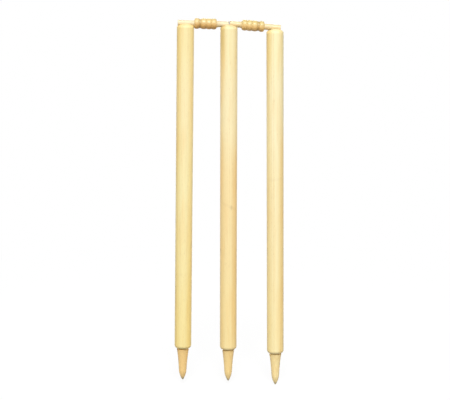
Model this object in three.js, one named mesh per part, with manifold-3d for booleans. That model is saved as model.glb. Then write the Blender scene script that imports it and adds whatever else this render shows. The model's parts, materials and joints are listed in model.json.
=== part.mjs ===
// A cricket wicket: three stumps that stand in the ground on turned spikes, and two bails
// that lie end to end in grooves across the stumps' tops. Every piece is turned from one
// length of pale wood. Lengths are millimetres and angles degrees. +Z is up, X runs along
// the wicket and Y runs through it. The origin is on the middle stump's axis, level with
// its shoulder, which is the level of the ground.

import * as THREE from 'three';
import { mergeVertices } from 'three/addons/utils/BufferGeometryUtils.js';
import Module from 'manifold-3d';

const wasm = await Module();
wasm.setup();

// Stump body, from the shoulder up to the crown of the dome: 28 inches tall.
const stumpHeight = 711.2;
const stumpDiameter = 36.7;
const domeHeight = 9.5;
const footHeight = 5.6;
const shoulderDiameter = 29.0;
const stumpSides = 40;

// Spike, below the shoulder: a parting groove, a slender taper and a bullet point.
const partingDiameter = 23.2;
const partingHeight = 2.2;
const partingBevel = 0.8;
const spikeDiameter = 26.8;
const spikeLength = 72.9;
const pointDiameter = 16.7;
const pointLength = 20.7;
const noseDiameter = 2.8;
const noseHeight = 0.5;

// Bails: a turned barrel between a long spigot, for the outer stump, and a short one.
const longSpigotLength = 35.5;
const shortSpigotLength = 26.8;
const spigotDiameter = 12.7;
const spigotEdge = 0.7;
const barrelLength = 47.2;
const barrelDiameter = 23.2;
const endBeadWidth = 9.7;
const coveWidth = 5.0;
const coveDepth = 0.65;
const beadDepth = 1.15;
const beadCount = 3;
const barrelRound = 5.6;
const barrelFaceHeight = 2.3;
const longFillet = 1.6;
const shortFillet = 5.4;
const bailSides = 28;

// How the pieces fit and stand. A barrel gap is the room between a barrel and the stump
// outside it, a rise is how far a shoulder stands above the ground, and a lean is inward.
const seatGap = 0.3;
const meetGap = 0.8;
const meetOffset = 0.7;
const middleGrooveDepth = 6.8;
const leftGrooveDepth = 6.9;
const leftBarrelGap = 0.4;
const leftRise = 2.6;
const leftLean = 0.62;
const rightGrooveDepth = 5.8;
const rightBarrelGap = 4.7;
const rightRise = -8.4;
const rightLean = 0.48;

// How far the cutter of a groove runs out past the wood.
const cutOverrun = 5.0;

// Shares that bend an outline between two of its points: first inwards, then along.
const footShares = [0.25, 0.85];
const spikeShares = [0.63, 0.32];
const pointShares = [0.16, 0.51];
const filletShares = [0.86, 0.12];

// Steps along each curved stretch.
const domeSteps = 7;
const footSteps = 4;
const spikeSteps = 4;
const pointSteps = 6;
const grooveSteps = 14;
const roundSteps = 4;
const beadSteps = 6;
const beadPower = 2.5;

const stumpRadius = stumpDiameter / 2;
const spigotRadius = spigotDiameter / 2;
const barrelRadius = barrelDiameter / 2;
const grooveRadius = spigotRadius + seatGap;

// The points of a curve from one outline point to the next, bent by a pair of shares.
function bend(from, to, shares, steps) {
  const control = new THREE.Vector2(
    THREE.MathUtils.lerp(from.x, to.x, shares[0]),
    THREE.MathUtils.lerp(from.y, to.y, shares[1]),
  );
  return new THREE.QuadraticBezierCurve(from, control, to).getPoints(steps);
}

// A solid of revolution about +Z from outline points given as radius and height.
function turned(outline, sides) {
  return new THREE.LatheGeometry(outline, sides).rotateX(Math.PI / 2);
}

// The outline of a stump, from the tip of its spike to the crown of its dome.
function stumpOutline() {
  const nose = new THREE.Vector2(noseDiameter / 2, noseHeight - spikeLength);
  const pointTop = new THREE.Vector2(pointDiameter / 2, pointLength - spikeLength);
  const spikeTop = new THREE.Vector2(spikeDiameter / 2, -partingHeight - partingBevel);
  const shoulder = new THREE.Vector2(shoulderDiameter / 2, 0);
  const footTop = new THREE.Vector2(stumpRadius, footHeight);
  const outline = [
    new THREE.Vector2(0, -spikeLength),
    ...bend(pointTop, nose, pointShares, pointSteps).reverse(),
    ...bend(spikeTop, pointTop, spikeShares, spikeSteps).reverse().slice(1),
    new THREE.Vector2(partingDiameter / 2, -partingHeight),
    new THREE.Vector2(partingDiameter / 2, 0),
    ...bend(footTop, shoulder, footShares, footSteps).reverse(),
  ];
  for (let i = 0; i <= domeSteps; i += 1) {
    const angle = (Math.PI / 2) * (i / domeSteps);
    const radius = i === domeSteps ? 0 : stumpRadius * Math.cos(angle);
    outline.push(new THREE.Vector2(radius, stumpHeight - domeHeight * (1 - Math.sin(angle))));
  }
  return outline;
}

// The channel that a bail lies in: round at the bottom and open at the top, along X.
function grooveCutter(depth) {
  const floor = stumpHeight - depth;
  const top = stumpHeight + cutOverrun;
  const shape = new THREE.Shape();
  shape.moveTo(grooveRadius, top);
  shape.lineTo(-grooveRadius, top);
  shape.lineTo(-grooveRadius, floor + grooveRadius);
  shape.absarc(0, floor + grooveRadius, grooveRadius, Math.PI, 2 * Math.PI, false);
  const length = stumpDiameter + 2 * cutOverrun;
  const channel = new THREE.ExtrudeGeometry(shape, {
    depth: length,
    bevelEnabled: false,
    curveSegments: grooveSteps,
  });
  return channel.translate(0, 0, -length / 2).rotateX(Math.PI / 2).rotateZ(Math.PI / 2);
}

// A closed geometry as a solid that can be cut, without the collapsed triangles of its poles.
function solid(geometry) {
  geometry.deleteAttribute('normal');
  geometry.deleteAttribute('uv');
  const merged = mergeVertices(geometry);
  const corners = merged.index.array;
  const triangles = [];
  for (let i = 0; i < corners.length; i += 3) {
    const [a, b, c] = corners.slice(i, i + 3);
    if (a !== b && b !== c && c !== a) {
      triangles.push(a, b, c);
    }
  }
  return new wasm.Manifold(new wasm.Mesh({
    numProp: 3,
    vertProperties: new Float32Array(merged.attributes.position.array),
    triVerts: new Uint32Array(triangles),
  }));
}

// A solid as a geometry with flat facets.
function geometryOf(body) {
  const mesh = body.getMesh();
  const geometry = new THREE.BufferGeometry();
  geometry.setAttribute('position', new THREE.BufferAttribute(mesh.vertProperties, 3));
  geometry.setIndex(new THREE.BufferAttribute(mesh.triVerts, 1));
  const facets = geometry.toNonIndexed();
  facets.computeVertexNormals();
  return facets;
}

function stumpWood(color) {
  return new THREE.MeshStandardMaterial({ color, roughness: 0.42, metalness: 0 });
}

function bailWood(color) {
  return new THREE.MeshStandardMaterial({ color, roughness: 0.45, metalness: 0 });
}

// One stump, standing at a place along X with its shoulder at a height, leaning along X.
function stump(name, x, rise, leanDegrees, grooveDepth, color) {
  const body = solid(turned(stumpOutline(), stumpSides)).subtract(solid(grooveCutter(grooveDepth)));
  const mesh = new THREE.Mesh(geometryOf(body), stumpWood(color));
  mesh.name = name;
  mesh.position.set(x, 0, rise);
  mesh.rotation.y = THREE.MathUtils.degToRad(leanDegrees);
  mesh.updateMatrixWorld();
  return mesh;
}

// A round-over from a face up to the full barrel, or down again when the radii are swapped.
function roundOver(start, width, faceRadius) {
  const points = [];
  for (let i = 0; i <= roundSteps; i += 1) {
    const angle = (Math.PI / 2) * (i / roundSteps);
    const radius = faceRadius + (barrelRadius - faceRadius) * Math.sin(angle);
    points.push(new THREE.Vector2(radius, start + width * (1 - Math.cos(angle))));
  }
  return points;
}

// A bead with a broad crown, or the part of it between two shares of its half width.
function bead(centre, halfWidth, fromShare, toShare, steps) {
  const points = [];
  for (let i = 0; i <= steps; i += 1) {
    const share = THREE.MathUtils.lerp(fromShare, toShare, i / steps);
    const drop = beadDepth * Math.abs(share) ** beadPower;
    points.push(new THREE.Vector2(barrelRadius - drop, centre + share * halfWidth));
  }
  return points;
}

// The hollow between the end bead and the next one.
function cove(start) {
  const points = [];
  for (let i = 1; i < roundSteps; i += 1) {
    const angle = Math.PI * (i / roundSteps);
    const radius = barrelRadius - beadDepth - coveDepth * Math.sin(angle);
    points.push(new THREE.Vector2(radius, start + (coveWidth * (1 - Math.cos(angle))) / 2));
  }
  return points;
}

// The outline of a bail, from the end of its short spigot to the end of its long one.
function bailOutline() {
  const innerFace = shortSpigotLength;
  const outerFace = innerFace + barrelLength;
  const end = outerFace + longSpigotLength;
  const faceRadius = spigotRadius + barrelFaceHeight;
  const coveStart = outerFace - endBeadWidth - coveWidth;
  const beadWidth = (coveStart - innerFace) / beadCount;
  const shortFoot = new THREE.Vector2(spigotRadius, innerFace - shortFillet);
  const longFoot = new THREE.Vector2(spigotRadius, outerFace + longFillet);
  const outline = [
    new THREE.Vector2(0, 0),
    new THREE.Vector2(spigotRadius - spigotEdge, 0),
    new THREE.Vector2(spigotRadius, spigotEdge),
    ...bend(new THREE.Vector2(faceRadius, innerFace), shortFoot, filletShares, roundSteps).reverse(),
    ...roundOver(innerFace, barrelRound, faceRadius).slice(1),
  ];
  const halfBead = beadWidth / 2;
  outline.push(...bead(innerFace + halfBead, halfBead, 0, 1, beadSteps / 2));
  for (let i = 1; i < beadCount; i += 1) {
    outline.push(...bead(innerFace + halfBead + i * beadWidth, halfBead, -1, 1, beadSteps).slice(1));
  }
  outline.push(...cove(coveStart));
  const crown = outerFace - barrelRound;
  const halfEndBead = crown - (coveStart + coveWidth);
  outline.push(...bead(crown, halfEndBead, -1, 0, beadSteps / 2));
  for (const point of roundOver(0, barrelRound, faceRadius).reverse().slice(1)) {
    outline.push(new THREE.Vector2(point.x, outerFace - point.y));
  }
  outline.push(
    ...bend(new THREE.Vector2(faceRadius, outerFace), longFoot, filletShares, roundSteps).slice(1),
    new THREE.Vector2(spigotRadius, end - spigotEdge),
    new THREE.Vector2(spigotRadius - spigotEdge, end),
    new THREE.Vector2(0, end),
  );
  return outline;
}

// Half the length of a groove's floor, which ends where the dome falls below it.
function halfFloor(grooveDepth) {
  return stumpRadius * Math.sqrt(1 - (1 - grooveDepth / domeHeight) ** 2);
}

// The two ends of the stretch of a groove's floor that a bail covers, in the wicket's frame.
function floorEnds(stumpMesh, grooveDepth, side, coverInside, coverOutside) {
  const half = halfFloor(grooveDepth);
  const height = stumpHeight - grooveDepth;
  const inside = new THREE.Vector3(side * Math.max(-half, coverInside), 0, height);
  const outside = new THREE.Vector3(side * Math.min(half, coverOutside), 0, height);
  return [stumpMesh.localToWorld(inside), stumpMesh.localToWorld(outside)];
}

// The line through one point of each stump that stands highest between them: a straight
// bail can rest only on that one.
function restingLine(middleEnds, outerEnds) {
  const between = (middleEnds[1].x + outerEnds[0].x) / 2;
  let best = null;
  for (const a of middleEnds) {
    for (const b of outerEnds) {
      const slope = (b.z - a.z) / (b.x - a.x);
      const height = a.z + slope * (between - a.x);
      if (best === null || height > best.height) {
        best = { height, slope, x: between };
      }
    }
  }
  return best;
}

// One bail, from where the two meet over the middle stump out to the given side.
function bail(name, side, middle, outer, middleDepth, outerDepth, color) {
  const mesh = new THREE.Mesh(turned(bailOutline(), bailSides), bailWood(color));
  const innerEnd = meetOffset + (side * meetGap) / 2;
  const length = shortSpigotLength + barrelLength + longSpigotLength;
  const crown = outer.localToWorld(new THREE.Vector3(0, 0, stumpHeight));
  const cover = side * (innerEnd - middle.position.x);
  const reach = side * (innerEnd - crown.x) + length;
  const middleEnds = floorEnds(middle, middleDepth, side, cover, stumpRadius);
  const outerEnds = floorEnds(outer, outerDepth, side, -stumpRadius, reach);
  const line = restingLine(middleEnds, outerEnds);
  const lift = (spigotRadius + seatGap) * Math.hypot(1, line.slope);
  mesh.name = name;
  mesh.position.set(innerEnd, 0, line.height + line.slope * (innerEnd - line.x) + lift);
  mesh.rotation.y = side * Math.PI / 2 - Math.atan(line.slope);
  return mesh;
}

// Where an outer stump stands: its dome is set out from the barrel of its own bail.
function groundPlace(side, barrelGap, lean) {
  const barrelEnd = meetGap / 2 + shortSpigotLength + barrelLength;
  const domeAxis = meetOffset + side * (barrelEnd + barrelGap + stumpRadius);
  return domeAxis + side * stumpHeight * Math.sin(THREE.MathUtils.degToRad(lean));
}

const leftPlace = groundPlace(-1, leftBarrelGap, leftLean);
const rightPlace = groundPlace(1, rightBarrelGap, rightLean);
const left = stump('left_stump', leftPlace, leftRise, leftLean, leftGrooveDepth, 0xf6dea4);
const middle = stump('middle_stump', 0, 0, 0, middleGrooveDepth, 0xf4dba6);
const right = stump('right_stump', rightPlace, rightRise, -rightLean, rightGrooveDepth, 0xf7e2b0);

const wicket = new THREE.Group();
wicket.add(left, middle, right);
wicket.add(bail('left_bail', -1, middle, left, middleGrooveDepth, leftGrooveDepth, 0xe9c892));
wicket.add(bail('right_bail', 1, middle, right, middleGrooveDepth, rightGrooveDepth, 0xe5c18a));

export default wicket;
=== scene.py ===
"""A cricket wicket: three stumps turned from pale ash, and two turned bails lying across their tops.

Lengths are metres. +Z is up, X runs along the wicket, and the origin is on the middle stump's axis at
the level of the ground.
"""

import json
import math

import bmesh
import bpy
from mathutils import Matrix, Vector


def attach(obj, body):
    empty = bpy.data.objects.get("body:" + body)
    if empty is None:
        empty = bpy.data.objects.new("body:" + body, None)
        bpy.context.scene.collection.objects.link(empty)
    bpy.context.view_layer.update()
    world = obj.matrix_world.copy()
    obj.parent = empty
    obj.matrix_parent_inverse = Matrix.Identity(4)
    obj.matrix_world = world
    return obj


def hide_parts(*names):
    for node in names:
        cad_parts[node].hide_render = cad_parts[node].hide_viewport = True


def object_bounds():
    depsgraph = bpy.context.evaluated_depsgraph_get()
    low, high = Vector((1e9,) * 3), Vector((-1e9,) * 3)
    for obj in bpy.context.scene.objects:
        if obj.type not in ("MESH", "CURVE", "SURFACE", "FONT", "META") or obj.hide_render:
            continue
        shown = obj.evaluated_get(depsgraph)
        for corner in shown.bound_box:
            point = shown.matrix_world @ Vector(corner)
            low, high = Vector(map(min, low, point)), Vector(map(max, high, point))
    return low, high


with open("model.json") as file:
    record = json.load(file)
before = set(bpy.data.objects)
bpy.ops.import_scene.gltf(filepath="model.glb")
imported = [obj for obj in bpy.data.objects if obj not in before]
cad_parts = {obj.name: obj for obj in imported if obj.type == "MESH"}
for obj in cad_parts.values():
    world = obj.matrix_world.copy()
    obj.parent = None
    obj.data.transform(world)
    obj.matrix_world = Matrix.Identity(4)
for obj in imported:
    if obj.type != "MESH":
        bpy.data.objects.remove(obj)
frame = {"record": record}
cad_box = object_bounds()

# Stumps. Each is one length of pale ash, turned between centres: a domed top, a long straight body, a
# rounded foot with a flat shoulder, a parting groove, and a slender spike with a bullet point, which is
# pressed into the ground by hand. The blanks are alike, and then a groove is cut across each dome.

STUMP_HEIGHT = 0.7112
STUMP_RADIUS = 0.01835
STUMP_SIDES = 96
DOME_HEIGHT = 0.0095
DOME_RINGS = 26
FOOT_HEIGHT = 0.0056
FOOT_SHARES = (0.25, 0.85)
FOOT_RINGS = 10
SHOULDER_RADIUS = 0.0145
PARTING_RADIUS = 0.0116
PARTING_HEIGHT = 0.0022
PARTING_BEVEL = 0.0008
SPIKE_RADIUS = 0.0134
SPIKE_LENGTH = 0.0729
SPIKE_SHARES = (0.63, 0.32)
SPIKE_RINGS = 14
POINT_RADIUS = 0.00835
POINT_LENGTH = 0.0207
POINT_SHARES = (0.16, 0.51)
POINT_RINGS = 16
NOSE_RADIUS = 0.0014
NOSE_HEIGHT = 0.0005
NOSE_RINGS = 4
# A turned mesh starts and ends on a tiny disc. A ring just inside each end of a long straight run
# holds the smooth shading to the curve beside it.
POLE_RADIUS = 0.0001
HOLDING = 0.0004
SMOOTH_ANGLE = math.radians(32)


def bend(start, end, shares, rings):
    """Points from start to end on a curve that is pulled towards a corner by two shares."""
    corner = [a + share * (b - a) for a, b, share in zip(start, end, shares)]
    points = []
    for ring in range(rings + 1):
        t = ring / rings
        points.append(tuple(
            (1 - t) ** 2 * a + 2 * t * (1 - t) * c + t ** 2 * b
            for a, c, b in zip(start, corner, end)
        ))
    return points


def quarter_round(rings):
    """Sine and cosine of the angles of a quarter turn, with both ends."""
    return [
        (math.sin(math.pi / 2 * ring / rings), math.cos(math.pi / 2 * ring / rings))
        for ring in range(rings + 1)
    ]


def stump_profile():
    """Radius and height of each turned ring, from the tip of the spike to the crown."""
    tip = [
        (max(POLE_RADIUS, NOSE_RADIUS * sine), NOSE_HEIGHT * (1 - cosine) - SPIKE_LENGTH)
        for sine, cosine in quarter_round(NOSE_RINGS)
    ]
    point_top = (POINT_RADIUS, POINT_LENGTH - SPIKE_LENGTH)
    spike_top = (SPIKE_RADIUS, -PARTING_HEIGHT - PARTING_BEVEL)
    point = bend(point_top, tip[-1], POINT_SHARES, POINT_RINGS)[::-1]
    spike = bend(spike_top, point_top, SPIKE_SHARES, SPIKE_RINGS)[::-1]
    parting = [(PARTING_RADIUS, -PARTING_HEIGHT), (PARTING_RADIUS, 0.0)]
    foot = bend((STUMP_RADIUS, FOOT_HEIGHT), (SHOULDER_RADIUS, 0.0), FOOT_SHARES, FOOT_RINGS)[::-1]
    body = [
        (STUMP_RADIUS, FOOT_HEIGHT + HOLDING),
        (STUMP_RADIUS, STUMP_HEIGHT - DOME_HEIGHT - HOLDING),
    ]
    dome = [
        (max(POLE_RADIUS, STUMP_RADIUS * cosine), STUMP_HEIGHT - DOME_HEIGHT * (1 - sine))
        for sine, cosine in quarter_round(DOME_RINGS)
    ]
    return tip + point[1:] + spike[1:] + parting + foot + body + dome


def turn(name, profile, sides):
    """Turns a piece about Z: a disc is extruded and resized from each ring of the profile to the next."""
    bpy.ops.object.select_all(action="DESELECT")
    radius, height = profile[0]
    bpy.ops.mesh.primitive_circle_add(
        vertices=sides, radius=radius, fill_type="TRIFAN", location=(0, 0, height)
    )
    piece = bpy.context.object
    piece.name = name
    bpy.ops.object.transform_apply(location=True, rotation=True, scale=True)
    bpy.ops.object.mode_set(mode="EDIT")
    bpy.ops.mesh.select_all(action="SELECT")
    for next_radius, next_height in profile[1:]:
        bpy.ops.mesh.extrude_region_move(
            TRANSFORM_OT_translate={"value": (0, 0, next_height - height)}
        )
        ratio = next_radius / radius
        bpy.ops.transform.resize(value=(ratio, ratio, 1), center_override=(0, 0, next_height))
        radius, height = next_radius, next_height
    bpy.ops.mesh.select_all(action="SELECT")
    bpy.ops.mesh.normals_make_consistent(inside=False)
    bpy.ops.object.mode_set(mode="OBJECT")
    return piece


def select_only(piece):
    """Makes a piece the active object and the only one that is selected."""
    bpy.ops.object.select_all(action="DESELECT")
    piece.select_set(True)
    bpy.context.view_layer.objects.active = piece


def copy_of(piece, name):
    """A copy of a piece with a mesh of its own."""
    select_only(piece)
    bpy.ops.object.duplicate(linked=False)
    bpy.context.object.name = name
    return bpy.context.object


def place(piece, location, turn_about_y):
    """Stands a piece in its place in the wicket, and leaves its object at the origin."""
    select_only(piece)
    piece.rotation_euler = (0, turn_about_y, 0)
    piece.location = location
    bpy.ops.object.transform_apply(location=True, rotation=True, scale=True)


def dress(piece, material):
    """Smooths a piece between its hard edges, and makes a material its only one."""
    bpy.ops.object.shade_smooth_by_angle(angle=SMOOTH_ANGLE)
    piece.data.materials.clear()
    piece.data.materials.append(material)


# The grooves are a little wider than the bails' spigots, which lie in them.
SPIGOT_RADIUS = 0.00635
SEAT_GAP = 0.0003
GROOVE_RADIUS = SPIGOT_RADIUS + SEAT_GAP
GROOVE_DEPTHS = {"left": 0.0069, "middle": 0.0068, "right": 0.0058}
GROOVE_SIDES = 64
CUTTER_LENGTH = 0.05
CUTTER_RISE = 0.02


def cut_groove(piece, depth):
    """Cuts the groove across a dome, along X, with a cylinder whose upper half is raised clear of it."""
    axis = STUMP_HEIGHT - depth + GROOVE_RADIUS
    bpy.ops.object.select_all(action="DESELECT")
    bpy.ops.mesh.primitive_cylinder_add(
        vertices=GROOVE_SIDES, radius=GROOVE_RADIUS, depth=CUTTER_LENGTH,
        location=(0, 0, axis), rotation=(0, math.pi / 2, 0),
    )
    cutter = bpy.context.object
    bpy.ops.object.transform_apply(location=True, rotation=True, scale=True)
    bpy.ops.object.mode_set(mode="EDIT")
    bpy.ops.mesh.select_mode(type="VERT")
    bpy.ops.mesh.select_all(action="DESELECT")
    mesh = bmesh.from_edit_mesh(cutter.data)
    for vertex in mesh.verts:
        vertex.select = vertex.co.z > axis + POLE_RADIUS
    bmesh.update_edit_mesh(cutter.data)
    bpy.ops.transform.translate(value=(0, 0, CUTTER_RISE))
    bpy.ops.object.mode_set(mode="OBJECT")
    cut = piece.modifiers.new("bail_groove", "BOOLEAN")
    cut.operation = "DIFFERENCE"
    cut.solver = "EXACT"
    cut.object = cutter
    bpy.context.view_layer.objects.active = piece
    bpy.ops.object.modifier_apply(modifier=cut.name)
    bpy.data.objects.remove(cutter)


# The mount on each shoulder lies straight in front of the stump's axis and points down along it.
MOUNTS = {mount["name"]: mount for mount in frame["record"]["mounts"]}


def standing(name):
    """Where a stump's axis meets the underside of its shoulder, and the stump's lean towards +X."""
    mount = MOUNTS[name + "_shoulder"]
    x, z = mount["pos_m"][0], mount["pos_m"][2]
    lean = math.atan2(-mount["axis"][0], -mount["axis"][2])
    return (x, 0, z), lean


def node(tree, kind, links=(), **settings):
    """Adds a shader node, sets its own values, and links sockets into its inputs."""
    added = tree.nodes.new(kind)
    for key, value in settings.items():
        setattr(added, key, value)
    for socket, source in links:
        if isinstance(source, bpy.types.NodeSocket):
            tree.links.new(source, added.inputs[socket])
        else:
            added.inputs[socket].default_value = source
    return added


def calculate(tree, operation, *values):
    """One step of arithmetic."""
    return node(tree, "ShaderNodeMath", enumerate(values), operation=operation).outputs[0]


def times(tree, first, second):
    """The product of two values."""
    return calculate(tree, "MULTIPLY", first, second)


def off(tree, value, centre):
    """How far a value is from a centre, to either side."""
    return calculate(tree, "ABSOLUTE", calculate(tree, "SUBTRACT", value, centre))


def length_of(tree, vector):
    """How long a vector is."""
    return node(tree, "ShaderNodeVectorMath", [(0, vector)], operation="LENGTH").outputs["Value"]


def spread(tree, value, low, high, to_low=0.0, to_high=1.0):
    """Maps low..high to to_low..to_high, smoothly and clamped."""
    return node(
        tree, "ShaderNodeMapRange",
        [("Value", value), ("From Min", low), ("From Max", high), ("To Min", to_low), ("To Max", to_high)],
        interpolation_type="SMOOTHSTEP",
    ).outputs["Result"]


def rgb(red, green, blue):
    """A colour as written, from 0 to 255, as the linear value that a shader takes: the sRGB curve."""
    def linear(value):
        share = value / 255
        return share / 12.92 if share <= 0.04045 else ((share + 0.055) / 1.055) ** 2.4
    return (linear(red), linear(green), linear(blue), 1.0)


# The sockets of a Mix node that mix colours. Others on it have the same names, so these go by number.
MIX_SHARE = 0
MIX_BASE = 6
MIX_COLOUR = 7
MIX_RESULT = 2


def tint(tree, share, base, colour, blend="MIX"):
    """Blends a colour over a base by a share."""
    return node(
        tree, "ShaderNodeMix", [(MIX_SHARE, share), (MIX_BASE, base), (MIX_COLOUR, colour)],
        data_type="RGBA", blend_type=blend,
    ).outputs[MIX_RESULT]


def layer(tree, base, value, reach, share, tone, blend="MULTIPLY"):
    """Lays a tone over a base, by more and more of a share as a value passes through its reach."""
    return tint(tree, spread(tree, value, *reach, 0.0, share), base, tone, blend)


def piece_coordinates(tree, centre, turn_about_y):
    """Object coordinates counted from a piece's own axis, with Z along it."""
    coordinates = node(tree, "ShaderNodeTexCoord").outputs["Object"]
    return node(
        tree, "ShaderNodeMapping",
        [("Vector", coordinates), ("Location", centre), ("Rotation", (0, turn_about_y, 0))],
        vector_type="TEXTURE",
    ).outputs["Vector"]


def laid_along(tree, local, location, slant, scale):
    """A piece's coordinates, shifted, slanted and scaled for a texture that runs along it."""
    return node(
        tree, "ShaderNodeMapping",
        [("Vector", local), ("Location", location), ("Rotation", (*slant, 0)), ("Scale", scale)],
    ).outputs["Vector"]


def grain(tree, local, seed, scale, stretch, detail=3.0, slant=(0.0, 0.0)):
    """Noise drawn out along a piece, as fibres are."""
    laid = laid_along(
        tree, local, (seed, -seed, seed / 2), slant, (scale, scale, scale * stretch),
    )
    return node(
        tree, "ShaderNodeTexNoise", [("Vector", laid), ("Scale", 1.0), ("Detail", detail)],
    ).outputs["Fac"]


# How wide a wave texture's rings are at a scale of one, how little they change along a piece, and how
# they waver.
WAVE_WIDTH = 0.314
RING_STRETCH = 0.05
RING_WAVER = (("Distortion", 2.2), ("Detail", 2.0), ("Detail Scale", 0.6))


def rings(tree, local, pith, slant, spacing, seed):
    """Growth rings about a pith line beside the piece, as they run out at its surface."""
    laid = laid_along(tree, local, (*pith, seed), slant, (1, 1, RING_STRETCH))
    return node(
        tree, "ShaderNodeTexWave",
        [("Vector", laid), ("Scale", WAVE_WIDTH / spacing), *RING_WAVER],
        wave_type="RINGS", rings_direction="Z",
    ).outputs["Fac"]


LACQUER_IOR = 1.5
RELIEF_DEPTH = 0.00012


def lacquered(tree, colour, roughness, gloss, relief, strength):
    """A clear, satin lacquer over a coloured wood with a fine relief."""
    bump = node(
        tree, "ShaderNodeBump", [("Height", relief), ("Strength", strength), ("Distance", RELIEF_DEPTH)],
    ).outputs["Normal"]
    shader = node(
        tree, "ShaderNodeBsdfPrincipled",
        [("Base Color", colour), ("Roughness", roughness), ("Normal", bump), ("IOR", LACQUER_IOR),
         ("Specular IOR Level", gloss)],
    )
    output = node(tree, "ShaderNodeOutputMaterial")
    tree.links.new(shader.outputs["BSDF"], output.inputs["Surface"])


def empty_material(name):
    """A new material with no nodes in it yet."""
    material = bpy.data.materials.new(name)
    material.use_nodes = True
    material.node_tree.nodes.clear()
    return material


# A reach is a pair: where a layer of colour starts, and where it is full.

# Colours up each stump, of its spike, foot, body and paler top, and the reach from each to the next.
STUMP_TONES = {
    "left": ((249, 213, 146), (250, 232, 165), (252, 239, 184), (253, 238, 187)),
    "middle": ((251, 222, 157), (249, 228, 168), (251, 229, 174), (253, 240, 195)),
    "right": ((255, 232, 171), (252, 236, 181), (253, 238, 189), (254, 243, 200)),
}
TONE_REACHES = ((-0.002, 0.001), (0.02, 0.36), (0.36, 0.54))
# The sides are painted warmer than the front, as painted shade. A warmer band crosses from the right side
# to the left one between two heights, and is fainter near the foot.
FLANK_SHADE_TINTS = {"left": (255, 249, 233), "middle": (251, 247, 242), "right": (254, 250, 239)}
FLANK_SHADE_REACH = (0.005, 0.014)
SLANT_TINTS = {"left": (254, 250, 241), "middle": (253, 247, 238), "right": (253, 244, 228)}
SLANT_HEIGHTS = {"left": (0.05, 0.55), "middle": (0.36, 0.62), "right": (0.36, 0.72)}
SLANT_SIDES = (1.0, -1.0)
SLANT_REACH = (0.003, 0.012)
SLANT_RISE = (0.03, 0.16)
SLANT_SHARES = (0.5, 1.0)
YELLOW_TOP = {"reach": (0.56, 0.68), "share": 1.0, "tone": rgb(255, 254, 246)}


def stump_tones(tree, name, xyz):
    """The broad tones of a stump, up its height and across it."""
    height = xyz["Z"]
    colour, *tones = (rgb(*tone) for tone in STUMP_TONES[name])
    for reach, tone in zip(TONE_REACHES, tones):
        colour = tint(tree, spread(tree, height, *reach), colour, tone)

    # Painted shade: the sides, away from the front, are tinted warmer.
    painted_flank_shade = spread(tree, off(tree, xyz["X"], 0.0), *FLANK_SHADE_REACH)
    colour = tint(tree, painted_flank_shade, colour, rgb(*FLANK_SHADE_TINTS[name]), "MULTIPLY")
    across = times(tree, xyz["X"], spread(tree, height, *SLANT_HEIGHTS[name], *SLANT_SIDES))
    slanted = times(
        tree,
        spread(tree, across, *SLANT_REACH),
        spread(tree, height, *SLANT_RISE, *SLANT_SHARES),
    )
    colour = tint(tree, slanted, colour, rgb(*SLANT_TINTS[name]), "MULTIPLY")
    return layer(tree, colour, height, **YELLOW_TOP)


# Where each stump's axis lay as counted from the pith of its tree, and how its grain slants about X
# and Y, in radians.
STUMP_PITHS = {"left": (0.05, 0.03), "middle": (-0.035, 0.06), "right": (0.02, -0.07)}
STUMP_SLANTS = {"left": (0.012, -0.01), "middle": (-0.02, 0.03), "right": (0.008, 0.014)}
STUMP_RING_SPACING = 0.0026
STUMP_FIBRES = {"scale": 900, "stretch": 0.02}
PATCHES = {"scale": 60, "stretch": 0.12, "detail": 1.0}
PORES = {"scale": 3200, "stretch": 0.035, "detail": 1.0}
PATCH_SEED = 3
PORE_SEED = 7
LATE_WOOD = {"reach": (0.3, 1.0), "share": 0.13, "tone": rgb(226, 192, 128)}
DARK_FIBRE = {"reach": (0.5, 0.75), "share": 0.22, "tone": rgb(236, 206, 146)}
WARM_PATCH = {"reach": (0.45, 0.7), "share": 0.25, "tone": rgb(250, 226, 190)}
PORE_REACH = (0.62, 0.72)
PORE_TONE = rgb(196, 158, 96)
# The pores are deeper in one part of each growth ring than in the other.
PORE_RING_REACH = (0.35, 0.8)
PORE_RING_SHARES = (0.15, 0.5)


def stump_grain(tree, name, local, colour, seed):
    """Growth rings, fibres, soft patches and pores: the colour with them, the fibres and the pores."""
    slant = STUMP_SLANTS[name]
    growth = rings(tree, local, STUMP_PITHS[name], slant, STUMP_RING_SPACING, seed)
    colour = layer(tree, colour, growth, **LATE_WOOD)
    fibres = grain(tree, local, seed, **STUMP_FIBRES, slant=slant)
    colour = layer(tree, colour, fibres, **DARK_FIBRE)
    patches = grain(tree, local, seed + PATCH_SEED, **PATCHES)
    colour = layer(tree, colour, patches, **WARM_PATCH)
    pores = grain(tree, local, seed + PORE_SEED, **PORES, slant=slant)
    pitted = times(
        tree,
        spread(tree, pores, *PORE_REACH),
        spread(tree, growth, *PORE_RING_REACH, *PORE_RING_SHARES),
    )
    return tint(tree, pitted, colour, PORE_TONE), fibres, pitted


# Faint marks across the front of each stump: height, slope and share.
CROSS_MARKS = {"left": (0.166, 0.2, 0.03), "middle": (0.3216, -0.5, 0.09), "right": (0.388, 0.1, 0.07)}
MARK_REACH = (0.006, 0.001)
FRONT_REACH = (-0.006, -0.014)
MARK_TONE = rgb(196, 160, 104)
# The middle stump also has a darker streak down the left of its top, and on its front a pin knot, which
# is drawn out along the grain.
STREAK_SIDE_REACH = (-0.006, -0.012)
STREAK_HEIGHT_REACH = (0.61, 0.69)
STREAK_TONE = rgb(241, 237, 218)
KNOT_PLACE = (0.0062, -0.0172, 0.3185)
KNOT_SHAPE = (1.0, 1.0, 0.45)
PIN_KNOT = {"reach": (0.004, 0.0002), "share": 0.2, "tone": rgb(150, 116, 66), "blend": "MIX"}


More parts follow.
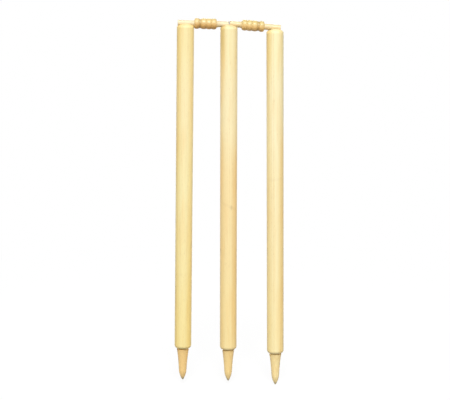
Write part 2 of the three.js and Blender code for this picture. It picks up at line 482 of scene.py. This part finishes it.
def stump_marks(tree, name, local, xyz, colour):
    """The marks that each stump has of its own."""
    mark_height, mark_slope, mark_share = CROSS_MARKS[name]
    level = calculate(tree, "MULTIPLY_ADD", xyz["X"], -mark_slope, xyz["Z"])
    mark = times(
        tree,
        spread(tree, off(tree, level, mark_height), *MARK_REACH, 0.0, mark_share),
        spread(tree, xyz["Y"], *FRONT_REACH),
    )
    colour = tint(tree, mark, colour, MARK_TONE)
    if name == "middle":
        streak = times(
            tree,
            spread(tree, xyz["X"], *STREAK_SIDE_REACH),
            spread(tree, xyz["Z"], *STREAK_HEIGHT_REACH),
        )
        colour = tint(tree, streak, colour, STREAK_TONE, "MULTIPLY")
        apart = node(tree, "ShaderNodeVectorMath", [(0, local), (1, KNOT_PLACE)], operation="SUBTRACT")
        drawn = node(
            tree, "ShaderNodeVectorMath", [(0, apart.outputs["Vector"]), (1, KNOT_SHAPE)],
            operation="MULTIPLY",
        )
        colour = layer(tree, colour, length_of(tree, drawn.outputs["Vector"]), **PIN_KNOT)
    return colour


# The dome shows end grain, which is a little darker and duller. Its darker tone is partly painted shade,
# which keeps the dome as pale as the body under the light from above.
END_GRAIN_AND_SHADE_REACH = (STUMP_HEIGHT - DOME_HEIGHT, STUMP_HEIGHT - DOME_HEIGHT / 3)
END_GRAIN_AND_SHADE_TONE = rgb(243, 240, 238)
END_GRAIN_ROUGHER = 0.16
# The spikes' tips are soiled by the ground, each by its own share.
SOILED_TIPS = {"left": 0.7, "middle": 0.5, "right": 0.5}
SOIL = {"reach": (-0.064, -0.071), "tone": rgb(170, 164, 138), "blend": "MIX"}
# The parting groove is painted darker, from its lower edge up to the shoulder: painted shade in its
# recess.
PARTING_SHADE_LOW_REACH = (-PARTING_HEIGHT - PARTING_BEVEL, -PARTING_HEIGHT + PARTING_BEVEL / 2)
PARTING_SHADE_HIGH_REACH = (0.0002, -0.0001)
PARTING_SHADE_TONE = rgb(150, 108, 10)
PARTING_SHADE_SHARE = 0.5
# The lacquer is rougher on some fibres than on others.
FIBRE_SPAN = (0.3, 0.8)
STUMP_ROUGHNESS = (0.36, 0.46)
STUMP_GLOSS = 0.3
STUMP_RELIEF = 0.18
PORE_DEPTH = 1.5


def ash(name, centre, lean, seed):
    """Pale ash: streaky fibres, wide soft growth rings, short pores, and painted shade in the parting
    groove.
    """
    material = empty_material("ash_" + name)
    tree = material.node_tree
    local = piece_coordinates(tree, centre, lean)
    xyz = node(tree, "ShaderNodeSeparateXYZ", [("Vector", local)]).outputs
    height = xyz["Z"]

    colour = stump_tones(tree, name, xyz)
    colour, fibres, pitted = stump_grain(tree, name, local, colour, seed)
    colour = stump_marks(tree, name, local, xyz, colour)
    # End grain darkens and dulls the dome; the darker tone is partly painted shade against the light from
    # above.
    end_grain_and_shade = spread(tree, height, *END_GRAIN_AND_SHADE_REACH)
    colour = tint(tree, end_grain_and_shade, colour, END_GRAIN_AND_SHADE_TONE, "MULTIPLY")
    colour = layer(tree, colour, height, share=SOILED_TIPS[name], **SOIL)
    # Painted shade darkens the parting groove, from its lower edge up to the shoulder.
    painted_groove_shade = times(
        tree,
        spread(tree, height, *PARTING_SHADE_LOW_REACH),
        spread(tree, height, *PARTING_SHADE_HIGH_REACH),
    )
    colour = tint(tree, times(tree, painted_groove_shade, PARTING_SHADE_SHARE), colour, PARTING_SHADE_TONE)

    satin = spread(tree, fibres, *FIBRE_SPAN, *STUMP_ROUGHNESS)
    roughness = calculate(tree, "ADD", satin, times(tree, end_grain_and_shade, END_GRAIN_ROUGHER))
    relief = calculate(tree, "ADD", fibres, times(tree, pitted, -PORE_DEPTH))
    lacquered(tree, colour, roughness, STUMP_GLOSS, relief, STUMP_RELIEF)
    return material


FIRST_STUMP_SEED = 2.0
SEED_STEP = 5

blank = turn("stump_blank", stump_profile(), STUMP_SIDES)
for number, (name, depth) in enumerate(GROOVE_DEPTHS.items()):
    shoulder, lean = standing(name)
    stump = copy_of(blank, name + "_stump_turned")
    cut_groove(stump, depth)
    place(stump, shoulder, lean)
    dress(stump, ash(name, shoulder, lean, FIRST_STUMP_SEED + SEED_STEP * number))
    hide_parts(name + "_stump")
    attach(stump, name + "_stump")
bpy.data.objects.remove(blank)

# Bails. Each is turned from one piece of a browner wood: a long plain spigot for the outer stump, a
# barrel with a cove and broad beads, and a short spigot that flares into the barrel. They have no
# fixing: they lie in the grooves end to end, and meet over the middle stump.

LONG_SPIGOT = 0.0355
SHORT_SPIGOT = 0.0268
SPIGOT_EDGE = 0.0007
EDGE_RINGS = 4
BARREL_LENGTH = 0.0472
BARREL_RADIUS = 0.0116
END_BEAD_WIDTH = 0.0097
COVE_WIDTH = 0.005
COVE_DEPTH = 0.00065
BEAD_DEPTH = 0.00115
BEAD_COUNT = 3
BEAD_POWER = 2.5
BEAD_RINGS = 16
BARREL_ROUND = 0.0056
BARREL_FACE_HEIGHT = 0.0023
FACE_RADIUS = SPIGOT_RADIUS + BARREL_FACE_HEIGHT
LONG_FILLET = 0.0016
SHORT_FILLET = 0.0054
FILLET_SHARES = (0.86, 0.12)
TURNED_RINGS = 10
BAIL_SIDES = 72
# Places along a bail, from the end of its short spigot: both faces of the barrel, and the other end.
INNER_FACE = SHORT_SPIGOT
OUTER_FACE = INNER_FACE + BARREL_LENGTH
BAIL_LENGTH = OUTER_FACE + LONG_SPIGOT


def bead(centre, half_width, first, last, rings):
    """A bead with a broad crown, or the part of it between two shares of its half width."""
    points = []
    for ring in range(rings + 1):
        share = first + (last - first) * ring / rings
        points.append((BARREL_RADIUS - BEAD_DEPTH * abs(share) ** BEAD_POWER, centre + share * half_width))
    return points


def spigot_end(end, inwards):
    """The rounded edge at an end of a bail, from the flat to the full radius. Inwards is 1 or -1."""
    return [
        (SPIGOT_RADIUS - SPIGOT_EDGE * (1 - sine), end + inwards * SPIGOT_EDGE * (1 - cosine))
        for sine, cosine in quarter_round(EDGE_RINGS)
    ]


def fillet(face, length):
    """The curve from a face of the barrel down to the spigot beside it, over a length along the bail."""
    return bend((FACE_RADIUS, face), (SPIGOT_RADIUS, face + length), FILLET_SHARES, TURNED_RINGS)


def cove(start):
    """The hollow beside the end bead, without its two edges."""
    points = []
    for ring in range(1, TURNED_RINGS):
        angle = math.pi * ring / TURNED_RINGS
        radius = BARREL_RADIUS - BEAD_DEPTH - COVE_DEPTH * math.sin(angle)
        points.append((radius, start + COVE_WIDTH * (1 - math.cos(angle)) / 2))
    return points


def bail_profile():
    """Radius and place of each turned ring, from the end of the short spigot to that of the long one."""
    cove_start = OUTER_FACE - END_BEAD_WIDTH - COVE_WIDTH
    half_bead = (cove_start - INNER_FACE) / BEAD_COUNT / 2
    crown = OUTER_FACE - BARREL_ROUND
    shoulder = [
        (FACE_RADIUS + (BARREL_RADIUS - FACE_RADIUS) * sine, BARREL_ROUND * (1 - cosine))
        for sine, cosine in quarter_round(TURNED_RINGS)
    ]
    short_spigot = spigot_end(0.0, 1)
    short_spigot += [
        (SPIGOT_RADIUS, SPIGOT_EDGE + HOLDING),
        (SPIGOT_RADIUS, INNER_FACE - SHORT_FILLET - HOLDING),
    ]
    inner_side = fillet(INNER_FACE, -SHORT_FILLET)[::-1]
    inner_side += [(radius, INNER_FACE + along) for radius, along in shoulder[1:]]
    beads = bead(INNER_FACE + half_bead, half_bead, 0, 1, BEAD_RINGS // 2)
    for number in range(1, BEAD_COUNT):
        centre = INNER_FACE + half_bead * (2 * number + 1)
        beads += bead(centre, half_bead, -1, 1, BEAD_RINGS)[1:]
    end_bead = bead(crown, crown - cove_start - COVE_WIDTH, -1, 0, BEAD_RINGS // 2)
    outer_side = [(radius, OUTER_FACE - along) for radius, along in shoulder[-2::-1]]
    outer_side += fillet(OUTER_FACE, LONG_FILLET)[1:]
    long_spigot = [
        (SPIGOT_RADIUS, OUTER_FACE + LONG_FILLET + HOLDING),
        (SPIGOT_RADIUS, BAIL_LENGTH - SPIGOT_EDGE - HOLDING),
    ]
    long_spigot += spigot_end(BAIL_LENGTH, -1)[::-1]
    barrel = inner_side + beads + cove(cove_start) + end_bead + outer_side
    return [(POLE_RADIUS, 0.0)] + short_spigot + barrel + long_spigot + [(POLE_RADIUS, BAIL_LENGTH)]


# The bails meet a little to the right of the middle stump's axis, and don't quite touch.
MEET_OFFSET = 0.0007
MEET_GAP = 0.0008


def floor_ends(name, side, start, stop):
    """The ends of the part of a groove's floor from start to stop, towards a side: X and Z of each."""
    shoulder, lean = standing(name)
    depth = GROOVE_DEPTHS[name]
    height = STUMP_HEIGHT - depth
    half_length = STUMP_RADIUS * math.sqrt(1 - (1 - depth / DOME_HEIGHT) ** 2)
    return [
        (
            shoulder[0] + along * math.cos(lean) + height * math.sin(lean),
            shoulder[2] + height * math.cos(lean) - along * math.sin(lean),
        )
        for along in (side * max(-half_length, start), side * min(half_length, stop))
    ]


def seat(name, side):
    """Where a bail's inner end lies, and the angle by which the bail slopes down to the right.

    It rests on one end of the middle groove's floor and one end of the outer groove's, as far as it
    covers them: on the two whose line is the highest, half way between the stumps.
    """
    shoulder, lean = standing(name)
    crown = shoulder[0] + STUMP_HEIGHT * math.sin(lean)
    inner_end = MEET_OFFSET + side * MEET_GAP / 2
    middle_ends = floor_ends("middle", side, side * inner_end, STUMP_RADIUS)
    outer_ends = floor_ends(name, side, -STUMP_RADIUS, side * (inner_end - crown) + BAIL_LENGTH)
    between = (middle_ends[1][0] + outer_ends[0][0]) / 2
    lines = []
    for middle_x, middle_z in middle_ends:
        for outer_x, outer_z in outer_ends:
            rise = (outer_z - middle_z) / (outer_x - middle_x)
            lines.append((middle_z + rise * (between - middle_x), rise))
    height, rise = max(lines)
    z = height + rise * (inner_end - between) + GROOVE_RADIUS * math.hypot(1, rise)
    return (inner_end, 0, z), -math.atan(rise)


SPIGOT_TONES = {"left": (231, 213, 172), "right": (230, 206, 153)}
# Each barrel is painted paler and yellower above and a redder brown below: painted light above, painted
# shade below.
BARREL_PAINTED_LIGHT_TONES = {
    "left": ((222, 199, 136), (224, 177, 101)),
    "right": ((217, 197, 130), (240, 198, 122)),
}
BARREL_PAINTED_LIGHT_REACH = (-0.004, 0.006)
# Reaches along a bail, counted from a face of its barrel towards the long spigot: of the barrel's
# tone, and of the painted shade in its hollows.
INNER_TONE_REACH = (-0.003, 0.002)
OUTER_TONE_REACH = (0.001, -0.002)
INNER_HOLLOW_SHADE_REACH = (0.002, 0.005)
OUTER_HOLLOW_SHADE_REACH = (-0.002, -0.005)
HOLLOW_SHADE_REACH = (BARREL_RADIUS - 0.0004, BARREL_RADIUS - 0.002)
HOLLOW_SHADE_SHARE = 0.6
HOLLOW_SHADE_TONE = rgb(158, 115, 24)
# The inner ends are painted dark on their upper half: painted shade in the gap where the bails meet.
GAP_SHADE_END_REACH = (0.0016, 0.001)
GAP_SHADE_SHARE = 0.9
GAP_SHADE_LOW_REACH = (0.0, 0.0018)
GAP_SHADE_HIGH_REACH = (0.0064, 0.0056)
GAP_SHADE_TONE = rgb(84, 64, 40)
BAIL_PITH = (0.02, 0.015)
BAIL_SLANT = (0.02, 0.03)
BAIL_RING_SPACING = 0.0019
BAIL_FIBRES = {"scale": 1100, "stretch": 0.04}
BAIL_LATE_WOOD = {"reach": (0.4, 0.95), "share": 0.3, "tone": rgb(222, 180, 116)}
BAIL_DARK_FIBRE = {"reach": (0.5, 0.75), "share": 0.25, "tone": rgb(226, 190, 126)}
BAIL_ROUGHNESS = (0.4, 0.5)
BAIL_GLOSS = 0.9
BAIL_RELIEF = 0.2


def on_barrel(tree, along, inner_reach, outer_reach):
    """One on the barrel, and nothing beyond two reaches that are counted from its faces."""
    return times(
        tree,
        spread(tree, along, *(INNER_FACE + step for step in inner_reach)),
        spread(tree, along, *(OUTER_FACE + step for step in outer_reach)),
    )


def bail_wood(name, side, centre, turned, seed):
    """A warmer wood than the stumps', with close grain and painted shade in the turned hollows."""
    material = empty_material("bail_wood_" + name)
    tree = material.node_tree
    local = piece_coordinates(tree, centre, turned)
    xyz = node(tree, "ShaderNodeSeparateXYZ", [("Vector", local)]).outputs
    along = xyz["Z"]
    flat = node(tree, "ShaderNodeCombineXYZ", [("X", xyz["X"]), ("Y", xyz["Y"])]).outputs["Vector"]
    radius = length_of(tree, flat)

    barrel_share = on_barrel(tree, along, INNER_TONE_REACH, OUTER_TONE_REACH)
    above = times(tree, xyz["X"], -side)
    # Painted light and shade: the barrel is paler and yellower above, and a redder brown below.
    upper, lower = (rgb(*tone) for tone in BARREL_PAINTED_LIGHT_TONES[name])
    barrel = tint(tree, spread(tree, above, *BARREL_PAINTED_LIGHT_REACH), lower, upper)
    colour = tint(tree, barrel_share, rgb(*SPIGOT_TONES[name]), barrel)
    growth = rings(tree, local, BAIL_PITH, BAIL_SLANT, BAIL_RING_SPACING, seed)
    colour = layer(tree, colour, growth, **BAIL_LATE_WOOD)
    fibres = grain(tree, local, seed, **BAIL_FIBRES)
    colour = layer(tree, colour, fibres, **BAIL_DARK_FIBRE)
    # Painted shade darkens the hollows between the beads and in the cove.
    hollow = times(
        tree,
        on_barrel(tree, along, INNER_HOLLOW_SHADE_REACH, OUTER_HOLLOW_SHADE_REACH),
        spread(tree, radius, *HOLLOW_SHADE_REACH, 0.0, HOLLOW_SHADE_SHARE),
    )
    colour = tint(tree, hollow, colour, HOLLOW_SHADE_TONE)
    # Painted shade darkens the upper half of each inner end, where the bails meet over a shadowed gap.
    painted_gap_shade = times(
        tree,
        spread(tree, along, *GAP_SHADE_END_REACH, 0.0, GAP_SHADE_SHARE),
        times(tree, spread(tree, above, *GAP_SHADE_LOW_REACH), spread(tree, above, *GAP_SHADE_HIGH_REACH)),
    )
    colour = tint(tree, painted_gap_shade, colour, GAP_SHADE_TONE)

    roughness = spread(tree, fibres, *FIBRE_SPAN, *BAIL_ROUGHNESS)
    lacquered(tree, colour, roughness, BAIL_GLOSS, fibres, BAIL_RELIEF)
    return material


FIRST_BAIL_SEED = 31.0

bail_blank = turn("bail_blank", bail_profile(), BAIL_SIDES)
for number, (name, side) in enumerate((("left", -1), ("right", 1))):
    inner_end, slope = seat(name, side)
    turned = side * math.pi / 2 + slope
    bail = copy_of(bail_blank, name + "_bail_turned")
    place(bail, inner_end, turned)
    dress(bail, bail_wood(name, side, inner_end, turned, FIRST_BAIL_SEED + SEED_STEP * number))
    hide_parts(name + "_bail")
    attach(bail, name + "_bail")
bpy.data.objects.remove(bail_blank)

# Studio. A white floor just under the spikes' points, a large soft lamp high behind the camera, smaller
# ones low in front, at both sides and behind, and a white surround that the camera and the gloss see
# but that lights the wood only softly.

FLOOR_GAP = 0.0004
FLOOR_SIZE = 400.0
WHITE = (1.0, 1.0, 1.0, 1.0)
# What the floor throws back at the wood, near the wicket and far from it.
NEAR_BOUNCE = (0.2, 0.195, 0.185, 1.0)
FAR_BOUNCE = (0.09, 0.087, 0.08, 1.0)
BOUNCE_REACH = (0.3, 0.9)
# How much of the floor's white is its own light as the camera sees it, near the wicket and far off.
OWN_LIGHT_REACH = (0.4, 1.6)
OWN_LIGHT_SHARES = (0.92, 1.0)


def mirrored_rays(tree, rays):
    """One where a ray comes from a gloss or goes through something clear."""
    return calculate(tree, "MAXIMUM", rays["Is Glossy Ray"], rays["Is Transmission Ray"])


floor_material = empty_material("floor_white")
tree = floor_material.node_tree
rays = node(tree, "ShaderNodeLightPath").outputs
away = length_of(tree, node(tree, "ShaderNodeTexCoord").outputs["Object"])
bounce = tint(tree, spread(tree, away, *BOUNCE_REACH), NEAR_BOUNCE, FAR_BOUNCE)
tone = tint(tree, rays["Is Camera Ray"], bounce, WHITE)
paint = node(tree, "ShaderNodeBsdfDiffuse", [("Color", tone)])
white = node(tree, "ShaderNodeEmission", [("Strength", 1.0)])
mirrored = mirrored_rays(tree, rays)
own_light = times(
    tree, rays["Is Camera Ray"], spread(tree, away, *OWN_LIGHT_REACH, *OWN_LIGHT_SHARES)
)
seen = calculate(tree, "MAXIMUM", mirrored, own_light)
mixed = node(tree, "ShaderNodeMixShader", [(0, seen), (1, paint.outputs[0]), (2, white.outputs[0])])
node(tree, "ShaderNodeOutputMaterial", [("Surface", mixed.outputs[0])])

bpy.ops.object.select_all(action="DESELECT")
bpy.ops.mesh.primitive_plane_add(size=FLOOR_SIZE, location=(0, 0, cad_box[0][2] - FLOOR_GAP))
floor = bpy.context.object
floor.name = "floor"
bpy.ops.object.transform_apply(location=True, rotation=True, scale=True)
floor.data.materials.append(floor_material)

SOFT_STRENGTH = 0.35
BRIGHT_STRENGTH = 1.0

world = bpy.data.worlds.new("white_surround")
bpy.context.scene.world = world
world.use_nodes = True
tree = world.node_tree
tree.nodes.clear()
rays = node(tree, "ShaderNodeLightPath").outputs
mirrored = mirrored_rays(tree, rays)
seen = calculate(tree, "MAXIMUM", mirrored, rays["Is Camera Ray"])
soft = node(tree, "ShaderNodeBackground", [("Strength", SOFT_STRENGTH)])
bright = node(tree, "ShaderNodeBackground", [("Strength", BRIGHT_STRENGTH)])
mixed = node(tree, "ShaderNodeMixShader", [(0, seen), (1, soft.outputs[0]), (2, bright.outputs[0])])
node(tree, "ShaderNodeOutputWorld", [("Surface", mixed.outputs[0])])

LAMP_TARGET = Vector((0, 0, 0.35))
# Name, place, size and watts.
LAMPS = (
    ("key_lamp", (0.25, -13.0, 15.8), 6.0, 3340),
    ("front_lamp", (0.15, -7.0, 0.75), 1.6, 65),
    ("left_lamp", (-2.9, -1.35, 1.4), 0.8, 25),
    ("right_lamp", (2.9, -1.35, 1.4), 0.8, 23),
    ("back_lamp", (0.0, 9.0, 1.9), 3.0, 440),
)


def softbox(name, location, size, watts):
    """A square lamp turned to face the wicket."""
    bpy.ops.object.light_add(type="AREA", location=location)
    lamp = bpy.context.object
    lamp.name = name
    lamp.data.shape = "SQUARE"
    lamp.data.size = size
    lamp.data.energy = watts
    lamp.visible_camera = False
    lamp.rotation_euler = (LAMP_TARGET - Vector(location)).to_track_quat("-Z", "Y").to_euler()


for lamp in LAMPS:
    softbox(*lamp)

CAMERA_TARGET = Vector((-0.00768, 0.0, 0.3325))
CAMERA_DISTANCE = 3.0125
CAMERA_ELEVATION = math.radians(9)
CAMERA_ROLL = math.radians(0.11)
CAMERA_RANGE = 1000.0
SENSOR_WIDTH_MM = 36.0
FOCAL_LENGTH_PX = 1386.3
FRAME_WIDTH_PX = 450

bpy.ops.object.camera_add()
camera = bpy.context.object
camera.data.sensor_width = SENSOR_WIDTH_MM
camera.data.lens = FOCAL_LENGTH_PX * SENSOR_WIDTH_MM / FRAME_WIDTH_PX
camera.data.clip_end = CAMERA_RANGE
aim = Vector((0, math.cos(CAMERA_ELEVATION), -math.sin(CAMERA_ELEVATION)))
camera.location = CAMERA_TARGET - CAMERA_DISTANCE * aim
camera.rotation_euler = aim.to_track_quat("-Z", "Y").to_matrix().to_4x4().to_euler()
camera.rotation_euler.rotate_axis("Z", CAMERA_ROLL)
bpy.context.scene.camera = camera

bpy.context.scene.view_settings.view_transform = "Standard"
